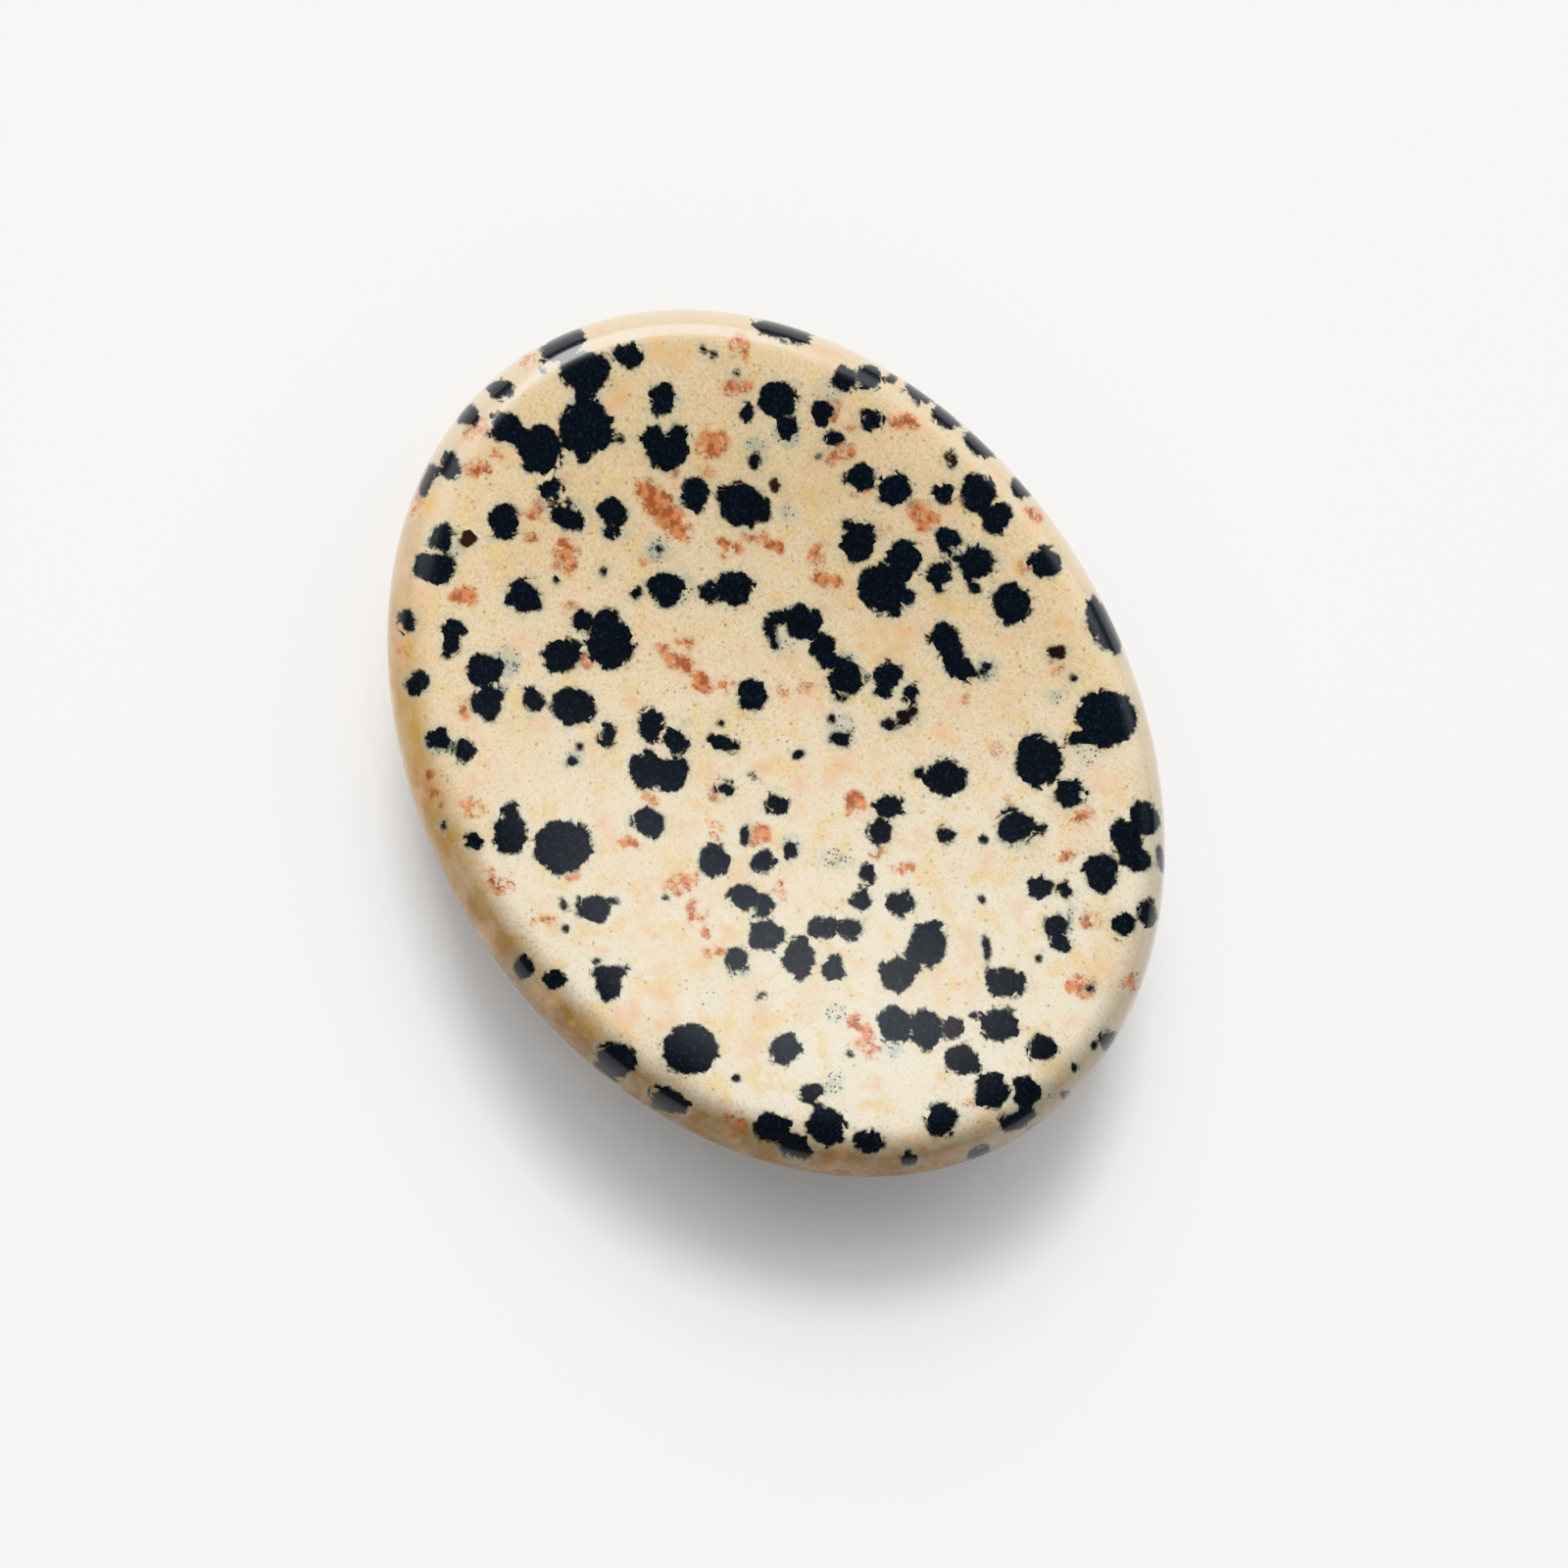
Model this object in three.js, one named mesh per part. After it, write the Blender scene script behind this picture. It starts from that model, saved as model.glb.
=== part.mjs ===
// A dalmatian jasper palm stone: one flat oval of spotted stone, ground to shape and polished,
// with a shallow thumb dish in its face, a rounded rim and a softly domed back.
// Millimetres. +Z is up, out of the dish; +X is the long way of the oval and +Y the short way.
// The origin is the middle of the small flat spot that the stone rests on.

import * as THREE from 'three';

// Driving dimensions
const LENGTH = 45.0;         // long way, over the girth
const WIDTH = 35.0;          // short way, over the girth
const HEIGHT = 8.5;          // from the flat spot to the crest of the rim
const GIRTH_HEIGHT = 6.0;    // how high the girth, the widest place, is above the flat spot
const CREST_INSET = 2.0;     // from the girth in to the crest of the rim, seen from above
const DISH_DEPTH = 2.3;      // from the crest down to the middle of the dish
const DISH_EASE = 1.5;       // 1 is a plain bowl; above 1 the bowl eases level at the crest
const REST_LENGTH = 14.0;    // long way of the flat spot

// How finely the surface is divided
const STEPS_AROUND = 96;
const STEPS_ON_BACK = 11;
const STEPS_ON_SHOULDER = 9;
const STEPS_IN_DISH = 11;

// Finish
const JASPER_CREAM = 0xe6d3ac;
const POLISH_ROUGHNESS = 0.18;

// Worked out from the driving dimensions
const HALF_LENGTH = LENGTH / 2;
const HALF_WIDTH = WIDTH / 2;
const OVAL_DIFFERENCE = HALF_LENGTH - HALF_WIDTH;
const CREST_RADIUS = HALF_LENGTH - CREST_INSET;
const REST_RADIUS = REST_LENGTH / 2;

// The dome of the back: a quarter of an ellipse from the edge of the flat spot up to the girth.
function backPoints() {
  const dome = new THREE.EllipseCurve(
    REST_RADIUS, GIRTH_HEIGHT, HALF_LENGTH - REST_RADIUS, GIRTH_HEIGHT, -Math.PI / 2, 0);
  return dome.getPoints(STEPS_ON_BACK);
}

// The shoulder: a quarter of an ellipse from the girth up to the crest of the rim.
function shoulderPoints() {
  const shoulder = new THREE.EllipseCurve(
    CREST_RADIUS, GIRTH_HEIGHT, CREST_INSET, HEIGHT - GIRTH_HEIGHT, 0, Math.PI / 2);
  return shoulder.getPoints(STEPS_ON_SHOULDER).slice(1);
}

// The dish: a bowl that eases level at the crest, from the crest in to the middle.
// The steps are close together at the rim, where the bowl turns most.
function dishPoints() {
  const points = [];
  for (let step = 1; step <= STEPS_IN_DISH; step++) {
    const quarterTurn = (step / STEPS_IN_DISH) * Math.PI / 2;
    const outward = step < STEPS_IN_DISH ? Math.cos(quarterTurn) : 0;
    const drop = DISH_DEPTH * Math.pow(1 - outward * outward, DISH_EASE);
    points.push(new THREE.Vector2(CREST_RADIUS * outward, HEIGHT - drop));
  }
  return points;
}

// How much narrower than long the stone is, at a given radius along its length.
// Back and dish keep the oval's proportions; the shoulder keeps its width all the way round.
function narrowing(radius, height) {
  if (height <= GIRTH_HEIGHT) return HALF_WIDTH / HALF_LENGTH;
  const outer = Math.max(radius, CREST_RADIUS);
  return (outer - OVAL_DIFFERENCE) / outer;
}

// The round blank turned from the profile, drawn in across its width to make the oval.
function stoneGeometry() {
  const middleOfRest = new THREE.Vector2(0, 0);
  const profile = [middleOfRest, ...backPoints(), ...shoulderPoints(), ...dishPoints()];
  const geometry = new THREE.LatheGeometry(profile, STEPS_AROUND);
  geometry.rotateX(Math.PI / 2);
  const position = geometry.attributes.position;
  for (let i = 0; i < position.count; i++) {
    const radius = Math.hypot(position.getX(i), position.getY(i));
    position.setY(i, position.getY(i) * narrowing(radius, position.getZ(i)));
  }
  geometry.computeVertexNormals();
  return geometry;
}

const polishedJasper = new THREE.MeshStandardMaterial({
  name: 'polished_jasper',
  color: JASPER_CREAM,
  roughness: POLISH_ROUGHNESS,
  metalness: 0,
});

const stone = new THREE.Mesh(stoneGeometry(), polishedJasper);
stone.name = 'stone';

const palmStone = new THREE.Group();
palmStone.name = 'palm_stone';
palmStone.add(stone);

export default palmStone;
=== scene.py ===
# A polished dalmatian jasper palm stone, lying face up on its small flat spot.
# Metres. +Z is up, out of the thumb dish; +X is the long way of the oval, +Y its short way.
import math
import random

import bpy
import numpy as np
from mathutils import Matrix, Vector


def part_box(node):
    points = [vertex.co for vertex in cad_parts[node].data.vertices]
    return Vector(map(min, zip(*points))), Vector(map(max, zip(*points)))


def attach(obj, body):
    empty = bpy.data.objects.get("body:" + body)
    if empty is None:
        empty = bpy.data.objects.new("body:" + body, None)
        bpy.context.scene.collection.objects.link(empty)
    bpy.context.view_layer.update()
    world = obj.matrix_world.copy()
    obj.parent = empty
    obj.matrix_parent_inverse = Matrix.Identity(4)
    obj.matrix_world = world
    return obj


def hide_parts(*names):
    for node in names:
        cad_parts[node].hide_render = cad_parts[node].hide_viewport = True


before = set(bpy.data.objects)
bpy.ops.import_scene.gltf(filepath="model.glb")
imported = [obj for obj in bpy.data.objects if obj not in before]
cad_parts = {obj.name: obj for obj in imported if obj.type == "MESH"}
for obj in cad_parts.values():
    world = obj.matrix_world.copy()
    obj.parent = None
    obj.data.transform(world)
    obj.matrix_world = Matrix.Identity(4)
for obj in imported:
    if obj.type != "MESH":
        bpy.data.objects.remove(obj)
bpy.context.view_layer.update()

MM = 0.001

# The stone's sizes. Length, width and height come from the frame.
STONE_LOW, STONE_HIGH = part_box("stone")
STONE_SIZES = {
    "Length": STONE_HIGH.x - STONE_LOW.x,
    "Width": STONE_HIGH.y - STONE_LOW.y,
    "Height": STONE_HIGH.z - STONE_LOW.z,
    "Girth Height": 6.0 * MM,
    "Crest Inset": 2.0 * MM,
    "Dish Depth": 2.3 * MM,
    "Dish Ease": 1.5,
    "Rest Length": 14.0 * MM,
    "Wave Depth": 0.03 * MM,
    "Cells Across": 220,
}
GIRTH_HEIGHT = STONE_SIZES["Girth Height"]

# The part of each half's grid that lies inside of where it turns down: the dish, and the flat spot.
FACE_LEVEL_SHARE = 0.81
BACK_LEVEL_SHARE = 0.29
SEAM_CLOSED_WITHIN = 0.001 * MM

# The waves that grinding leaves, and how far above the flat spot they reach their full depth.
WAVE_MM = 7.0
WAVES_FULL_ABOVE = 1.0 * MM

# The photo's frame, in its own pixels, x to the right and y down.
# SMALLEST_HALF is the least half size that a mark is given.
PHOTO_SIDE = 1600
PHOTO_MIDDLE = (800, 800)
STONE_IN_PHOTO = (794.1, 755.5)
LONG_WAY_IN_PHOTO = (0.5255, 0.8508)
PIXELS_PER_MM = 21.02
SMALLEST_HALF = 3.2

# The camera: it looks down on the stone, leaning off the upright towards the photo's lower left.
CAMERA_DISTANCE = 300 * MM
CAMERA_LEAN = math.radians(12)
LEAN_TOWARDS = math.radians(225)
SENSOR_WIDTH = 36.0
NEAREST_SEEN = 10 * MM
FARTHEST_SEEN = 10.0

# Marks that are read off the photo: x, y, size along, size across, tilt.
# The tilt is in degrees, clockwise from the photo's level.
BLACK_TOP_LEFT = [
    (574, 353, 46, 24, -30), (598, 380, 50, 38, 0), (596, 402, 14, 20, 0), (598, 437, 52, 54, 0),
    (594, 462, 14, 18, 0), (515, 436, 28, 28, 0), (530, 446, 24, 22, 0), (551, 459, 42, 48, 0),
    (641, 362, 27, 24, 0), (675, 408, 20, 31, 8), (665, 447, 20, 22, 0), (691, 446, 18, 28, 0),
    (681, 462, 38, 32, 0), (511, 397, 22, 16, 0), (478, 424, 19, 19, 0), (459, 475, 18, 24, 0),
    (436, 490, 32, 13, -62), (562, 498, 21, 19, 0), (514, 532, 30, 32, 0), (578, 527, 32, 15, 15),
    (579, 531, 16, 22, 0), (581, 513, 6, 10, 0), (625, 524, 25, 25, 0), (623, 542, 12, 14, 0),
    (709, 503, 26, 34, 0), (758, 515, 44, 44, 0), (737, 505, 14, 14, 0), (776, 520, 20, 26, 0),
    (771, 470, 11, 18, 15), (791, 495, 9, 14, 15), (450, 550, 21, 24, 0), (444, 579, 39, 28, 0),
    (477, 550, 19, 11, -40), (534, 607, 34, 30, 0), (548, 617, 11, 9, 20), (415, 635, 16, 21, 0),
    (462, 641, 24, 13, 0), (459, 658, 17, 19, 0), (672, 560, 9, 9, 0), (682, 603, 30, 32, 0),
    (668, 596, 12, 14, 0), (649, 605, 12, 10, 0), (724, 606, 20, 20, 0), (750, 601, 36, 34, 0),
    (598, 634, 21, 20, 0), (622, 656, 46, 48, 0), (620, 629, 20, 16, 0), (573, 669, 36, 33, 0),
    (495, 684, 30, 30, 0), (427, 697, 24, 19, -20), (616, 583, 6, 6, 0), (567, 591, 6, 5, 0),
    (752, 382, 6, 7, 0), (718, 356, 9, 5, 50), (727, 362, 9, 8, 0), (555, 378, 5, 5, 0),
    (633, 448, 5, 6, 0), (762, 421, 12, 16, 0), (498, 716, 30, 34, 0),
]
BLACK_TOP_RIGHT = [
    (793, 408, 38, 34, 0), (803, 436, 18, 22, 0), (798, 338, 60, 18, 14), (862, 387, 23, 23, 0),
    (886, 385, 22, 23, 0), (910, 387, 8, 7, 0), (937, 401, 32, 15, 35), (965, 425, 26, 18, 38),
    (1000, 453, 34, 18, 42), (1042, 498, 20, 14, 50), (838, 421, 18, 19, 0), (852, 448, 20, 13, 0),
    (890, 428, 19, 17, 0), (877, 488, 26, 26, 0), (914, 500, 32, 29, 0), (971, 468, 11, 14, 0),
    (963, 504, 18, 19, 0), (998, 504, 32, 38, 0), (1017, 528, 28, 26, 0), (876, 552, 34, 38, 0),
    (864, 538, 12, 12, 0), (923, 571, 32, 34, 0), (926, 557, 8, 10, 0), (900, 600, 48, 46, 0),
    (923, 610, 18, 16, 0), (913, 623, 8, 12, 0), (966, 549, 22, 22, 0), (976, 552, 9, 10, 0),
    (958, 585, 23, 25, 0), (958, 599, 9, 10, 0), (996, 575, 31, 33, 0), (994, 598, 10, 12, 0),
    (979, 570, 14, 5, 10), (1067, 574, 33, 28, 0), (1032, 615, 38, 38, 0),
    (1127, 638, 58, 27, 62), (963, 650, 30, 28, 0), (972, 668, 22, 26, 0), (981, 682, 32, 20, 20),
    (1006, 683, 8, 12, 30), (1079, 665, 15, 10, 0), (793, 628, 14, 15, 0), (785, 643, 13, 22, -20),
    (790, 657, 8, 10, 0), (817, 636, 32, 30, 0), (831, 632, 14, 16, 0), (838, 658, 20, 20, 0),
    (845, 672, 26, 18, 30), (863, 691, 35, 34, 0), (861, 711, 13, 10, 0), (907, 690, 26, 26, 0),
    (901, 705, 16, 10, 0), (930, 708, 15, 18, 0), (908, 738, 11, 10, 0), (922, 732, 13, 11, 0),
    (932, 726, 7, 8, 0), (1095, 692, 6, 6, 0), (835, 466, 5, 5, 0), (768, 710, 26, 31, 0),
    (858, 754, 18, 11, 10), (848, 734, 7, 9, 0), (815, 770, 10, 5, -25),
]
BLACK_LOWER_LEFT = [
    (448, 754, 19, 19, 0), (474, 765, 18, 21, 0), (543, 714, 19, 21, 0), (586, 721, 40, 35, 0),
    (620, 749, 16, 22, 0), (665, 740, 23, 30, 0), (688, 756, 26, 19, 30), (660, 786, 34, 34, 0),
    (684, 790, 31, 33, 0), (738, 758, 29, 12, 20), (592, 762, 6, 6, 0), (584, 777, 7, 7, 0),
    (739, 804, 16, 13, 0), (770, 793, 7, 7, 0), (792, 820, 22, 18, 0), (521, 851, 32, 36, 0),
    (521, 829, 14, 18, 0), (574, 864, 59, 52, 0), (482, 858, 14, 15, 0), (661, 840, 32, 26, 45),
    (728, 879, 30, 32, 0), (779, 879, 19, 19, 0), (760, 852, 7, 19, 0), (759, 915, 28, 26, 0),
    (779, 925, 19, 25, 0), (782, 955, 33, 31, 0), (606, 927, 33, 27, 0), (624, 920, 14, 7, 0),
    (574, 922, 7, 12, 0), (578, 948, 5, 5, 0), (622, 1003, 26, 32, 0), (613, 992, 16, 13, 0),
    (633, 992, 13, 12, 0), (609, 981, 6, 6, 0), (535, 987, 15, 19, 0), (566, 999, 19, 19, 0),
    (627, 1083, 39, 35, 0), (704, 1072, 55, 48, 0), (752, 981, 19, 24, 0), (776, 1017, 9, 8, 0),
    (679, 917, 5, 5, 0), (453, 843, 6, 6, 0), (734, 738, 4, 4, 0), (683, 1124, 40, 20, 25),
    (751, 1100, 4, 4, 0), (789, 1152, 34, 28, 15), (812, 1169, 32, 22, 30),
]
BLACK_LOWER_RIGHT = [
    (1128, 733, 58, 54, 0), (1102, 751, 26, 15, -25), (1060, 776, 47, 50, 0), (1091, 810, 28, 28, 0),
    (965, 793, 41, 34, 0), (937, 789, 8, 9, 0), (907, 823, 30, 21, -15), (897, 848, 20, 26, 0),
    (808, 868, 13, 17, 0), (884, 892, 14, 19, 0), (879, 918, 17, 18, 0), (919, 922, 25, 23, 0),
    (840, 947, 26, 21, 0), (867, 948, 26, 20, 0), (815, 978, 30, 37, 0), (946, 964, 36, 46, 20),
    (932, 986, 18, 14, 0), (915, 994, 32, 33, 0), (852, 989, 23, 23, 0), (965, 853, 19, 13, 0),
    (1036, 843, 40, 30, 0), (1060, 846, 14, 9, 0), (1004, 856, 7, 7, 0), (1168, 835, 28, 34, 0),
    (1149, 856, 30, 36, 0), (1158, 877, 28, 20, 0), (1124, 891, 33, 36, 0), (1184, 876, 26, 6, 85),
    (1061, 906, 28, 18, 0), (1087, 908, 15, 13, 0), (1079, 944, 21, 22, 0), (1083, 962, 16, 16, 0),
    (1146, 943, 24, 23, 0), (1170, 932, 18, 23, 0), (1025, 1003, 39, 29, 0), (1007, 968, 5, 24, -8),
    (1020, 1045, 34, 35, 0), (994, 1037, 7, 7, 0), (914, 1045, 32, 34, 0), (945, 1050, 29, 37, 0),
    (972, 1050, 17, 19, 0), (982, 1082, 32, 27, 0), (1064, 1069, 27, 29, 0), (801, 1070, 31, 30, 0),
    (1011, 1113, 34, 34, 0), (1047, 1115, 25, 30, 0), (1038, 1142, 38, 18, -22), (961, 1142, 30, 33, 0),
    (927, 1182, 14, 11, 0), (844, 1149, 35, 36, 0), (828, 1114, 20, 18, 0), (837, 1130, 9, 12, 0),
    (885, 1165, 28, 17, 0), (1001, 918, 4, 4, 0), (1060, 978, 4, 4, 0), (1096, 1089, 5, 5, 0),
    (1112, 1009, 6, 6, 0), (1130, 1061, 16, 12, -50), (1116, 1067, 5, 5, 0), (1085, 1117, 7, 7, 0),
    (999, 1176, 22, 9, -15), (868, 1075, 4, 4, 0),
]
# The same for the rust-coloured grains, with how strong each is, from 0 to 1, at the end.
RUST_IN_PHOTO = [
    (673, 516, 64, 25, 48, 1.0), (692, 540, 30, 18, 40, 0.9), (727, 454, 32, 26, -20, 0.8),
    (752, 394, 32, 13, -12, 0.8), (487, 477, 30, 18, 10, 0.6), (485, 437, 26, 22, 0, 0.6),
    (577, 568, 26, 38, 10, 0.65), (473, 608, 30, 19, 0, 0.75), (553, 513, 28, 16, -25, 0.6),
    (543, 545, 18, 15, 0, 0.5), (680, 668, 24, 14, 38, 0.8), (697, 679, 24, 14, 35, 0.85),
    (537, 526, 34, 13, 10, 0.45), (507, 464, 18, 14, 0, 0.45), (425, 513, 12, 26, 10, 0.6),
    (722, 481, 20, 14, 0, 0.45), (686, 481, 14, 10, 0, 0.5), (577, 487, 14, 14, 0, 0.4),
    (870, 437, 16, 12, 0, 0.5), (878, 503, 22, 10, 0, 0.5), (945, 541, 30, 10, 0, 0.4),
    (1118, 642, 20, 10, 0, 0.5), (739, 560, 16, 15, 0, 0.6),
    (716, 696, 26, 12, 40, 0.85), (699, 656, 16, 12, 0, 0.6), (740, 700, 22, 16, 0, 0.5),
    (600, 673, 22, 17, 0, 0.6), (582, 622, 20, 14, 0, 0.45), (541, 365, 22, 12, -35, 0.5),
    (755, 354, 22, 26, 0, 0.5), (745, 556, 26, 12, 15, 0.6), (779, 552, 40, 14, 22, 0.8),
    (661, 571, 14, 14, 0, 0.5), (412, 662, 12, 18, 0, 0.4), (941, 526, 34, 23, 30, 0.8),
    (920, 431, 36, 16, 5, 0.65), (857, 462, 32, 17, -20, 0.65), (848, 419, 20, 24, -20, 0.65),
    (833, 572, 12, 30, 0, 0.75), (842, 590, 34, 14, 22, 0.8), (838, 556, 12, 12, 0, 0.6),
    (1053, 526, 22, 14, 30, 0.5), (900, 539, 18, 14, 0, 0.45), (1077, 680, 14, 20, 0, 0.5),
    (1048, 577, 12, 18, 0, 0.6), (823, 700, 20, 16, 0, 0.55), (801, 704, 14, 14, 0, 0.4),
    (474, 722, 16, 22, 0, 0.55), (435, 793, 14, 20, 0, 0.6), (443, 816, 14, 18, 0, 0.6),
    (482, 824, 22, 22, 0, 0.5), (511, 899, 30, 28, 0, 0.5), (555, 940, 30, 10, 0, 0.5),
    (696, 902, 36, 16, -25, 0.75), (707, 931, 12, 26, 0, 0.6), (720, 944, 10, 26, 0, 0.6),
    (730, 971, 30, 10, 0, 0.5), (642, 861, 30, 13, 0, 0.6), (664, 816, 18, 14, 0, 0.5),
    (731, 811, 16, 14, 0, 0.55), (730, 848, 10, 22, 0, 0.5), (775, 853, 18, 22, 0, 0.8),
    (584, 894, 18, 12, 0, 0.45), (871, 821, 20, 24, 0, 0.7), (984, 714, 14, 14, 0, 0.35),
    (922, 888, 22, 14, 0, 0.6), (895, 869, 16, 14, 0, 0.5), (797, 910, 16, 20, 0, 0.55),
    (1103, 832, 28, 18, 0, 0.6), (1089, 875, 18, 16, 0, 0.5), (1113, 939, 22, 18, 0, 0.5),
    (1103, 1006, 28, 22, 0, 0.7), (1155, 1001, 18, 16, -50, 0.65), (882, 1057, 50, 18, 60, 0.75),
    (1017, 765, 12, 16, 0, 0.45), (1029, 819, 16, 12, 0, 0.4), (1042, 1057, 16, 14, 0, 0.45),
    (751, 1145, 20, 12, 20, 0.6), (989, 1128, 12, 10, 0, 0.5), (989, 1170, 18, 8, -15, 0.4),
]
# Faint peach clouds, with their strength at the end.
PEACH_IN_PHOTO = [
    (608, 338, 30, 14, -25, 0.5), (423, 518, 14, 24, 0, 0.5), (531, 654, 26, 18, 0, 0.6),
    (551, 741, 30, 24, 0, 0.5), (645, 717, 30, 18, 30, 0.6), (776, 784, 26, 18, 0, 0.6),
    (640, 1036, 34, 30, 0, 0.6), (675, 1014, 30, 20, 0, 0.6), (683, 1046, 26, 20, 0, 0.5),
    (965, 753, 36, 14, 35, 0.7), (838, 725, 14, 16, 0, 0.6), (860, 778, 24, 22, 0, 0.7),
    (847, 797, 22, 18, 0, 0.6), (815, 800, 22, 20, 0, 0.6), (954, 993, 26, 20, 0, 0.5),
    (992, 851, 22, 18, 0, 0.5), (1125, 797, 34, 26, 0, 0.5), (764, 1071, 26, 22, 0, 0.5),
    (788, 586, 18, 12, 0, 0.4), (930, 640, 60, 30, 0, 0.35), (925, 750, 40, 24, 0, 0.35),
    (1030, 700, 50, 40, 0, 0.3),
    (515, 567, 20, 16, 0, 0.4), (1025, 650, 32, 12, 20, 0.4),
    (1000, 640, 30, 16, 20, 0.4), (560, 1010, 40, 30, 0, 0.4), (890, 1105, 34, 26, 0, 0.4),
    (1090, 1040, 30, 30, 0, 0.4), (905, 790, 30, 20, 0, 0.35), (660, 960, 50, 40, 0, 0.3),
]
# Yellow ochre clouds, with their strength at the end.
OCHRE_IN_PHOTO = [
    (683, 356, 54, 46, 0, 0.45), (632, 402, 22, 26, 0, 0.8), (438, 515, 22, 30, 0, 0.9),
    (412, 652, 14, 36, 0, 1.0), (655, 466, 12, 20, 0, 0.8), (1087, 638, 30, 16, 20, 0.8),
    (1041, 577, 14, 20, 0, 0.9), (692, 549, 22, 12, 35, 0.9), (905, 652, 70, 50, 0, 0.5),
    (555, 1006, 60, 26, 50, 0.6), (600, 1050, 50, 20, 35, 0.6), (960, 612, 50, 20, 20, 0.5),
    (640, 505, 50, 30, 0, 0.4), (845, 505, 50, 40, 0, 0.4), (1120, 990, 30, 60, 20, 0.5),
]
# Small spots that are brown and not black.
BROWN_IN_PHOTO = [
    (791, 495, 16, 22, 15, 1.0), (477, 550, 26, 18, -40, 1.0), (776, 1017, 15, 14, 0, 1.0),
    (922, 731, 40, 20, -10, 0.35), (972, 1050, 22, 24, 0, 0.5), (1085, 1117, 13, 13, 0, 1.0),
    (971, 468, 16, 20, 0, 0.8), (1079, 665, 20, 15, 0, 0.5), (727, 362, 20, 14, 50, 0.6),
    (578, 948, 10, 10, 0, 0.9), (574, 922, 12, 16, 0, 0.7), (1130, 1061, 22, 18, -50, 0.7),
]
# Grey-green haze round some spots and over inclusions that lie just under the polish.
HAZE_IN_PHOTO = [
    (772, 456, 26, 20, 0, 0.9), (803, 440, 32, 34, 0, 0.7), (684, 408, 22, 26, 0, 0.7),
    (517, 676, 30, 34, 0, 0.9), (508, 700, 26, 22, 0, 0.7), (672, 560, 26, 28, 0, 0.9),
    (586, 527, 40, 30, 0, 0.6), (628, 540, 34, 26, 0, 0.6), (451, 565, 40, 46, 0, 0.6),
    (448, 756, 32, 28, 0, 0.8), (584, 777, 20, 18, 0, 0.8), (804, 522, 18, 18, 0, 0.7),
    (980, 566, 30, 26, 0, 0.8), (1006, 684, 24, 26, 0, 0.9), (858, 745, 30, 36, 0, 0.8),
    (922, 738, 40, 22, 0, 0.6), (852, 877, 38, 20, 0, 0.9), (853, 1106, 20, 30, 0, 0.8),
    (852, 1033, 28, 20, 0, 0.8), (1077, 710, 24, 18, 0, 0.6), (1070, 1113, 16, 20, 0, 0.5),
    (911, 1073, 22, 20, 0, 0.8), (752, 985, 30, 34, 0, 0.6), (804, 660, 26, 22, 0, 0.6),
    (862, 672, 20, 18, 0, 0.8), (1084, 950, 30, 44, 0, 0.6), (700, 735, 20, 16, 0, 0.5),
    (1095, 930, 30, 24, 0, 0.5), (808, 862, 24, 22, 0, 0.6), (690, 600, 44, 40, 0, 0.5),
    (562, 510, 26, 20, 0, 0.6), (597, 408, 34, 18, 0, 0.7), (845, 400, 40, 30, 0, 0.4),
    (870, 930, 40, 30, 0, 0.4), (1040, 860, 40, 20, 0, 0.5), (1108, 765, 30, 40, 0, 0.5),
    (724, 1020, 30, 30, 0, 0.35), (1000, 575, 46, 44, 0, 0.4), (1025, 640, 30, 20, 0, 0.35),
]

# The marks on the side and back, which the photo doesn't show, are chance, of the same kinds.
# Some black spots are specks, and the larger ones have one to three lobes.
CHANCE_SEED = 11
CHANCE_BLACK = 300
CLEAR_OF_SEEN = 0.35 * MM
GAP_BETWEEN_SPOTS = 0.5 * MM
COST_OF_A_MISS = 0.25
SPECK_SHARE = 0.2
SPECK_RADIUS_MM = 0.16
LEAST_MOST_USUAL_RADIUS_MM = (0.3, 1.3, 0.75)
LOBED_FROM_RADIUS = 0.5 * MM
LOBE_NUMBERS = (1, 1, 2, 3)
LOBE_SHIFT = 0.5
LOBE_SHARES = (0.55, 0.85)
RADIUS_SHARES = (0.8, 1.1)

# The soft marks: where they are in the photo, the width in millimetres over which they fade, how
# many more are laid by chance, the largest radius of those in millimetres, and their seed's step.
SOFT_MARKS = {
    "rust": (RUST_IN_PHOTO, 0.95, 90, 1.1, 1),
    "peach": (PEACH_IN_PHOTO, 0.9, 45, 1.3, 2),
    "ochre": (OCHRE_IN_PHOTO, 0.9, 45, 1.4, 4),
    "brown": (BROWN_IN_PHOTO, 0.3, 22, 0.7, 5),
    "haze": (HAZE_IN_PHOTO, 0.6, 50, 1.0, 3),
}
SOFT_LENGTHS = (0.4, 1.0)
SOFT_BREADTHS = (0.35, 0.7)
SOFT_STRENGTHS = (0.4, 0.9)

# A mark read off the photo ends this far from its middle: a share of its longer size, and a bit.
MARK_REACH_SHARE = 0.8
MARK_REACH_MORE_MM = 0.3

# What is written where no black spot is near: a distance and a breadth.
FAR_MM = 3.0
USUAL_BREADTH_MM = 1.0

# Sizes in the stone's colouring, in millimetres. The spread is how far the black of a broad spot
# reaches beyond its oval. An edge begins outside the spot and is fully black inside it.
SPOT_SPREAD_MM = 0.08
EDGE_BEGINS_MM = 0.13
EDGE_BLACK_MM = -0.09
RING_MM = 0.5
GRAIN_MM = 0.16

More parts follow.
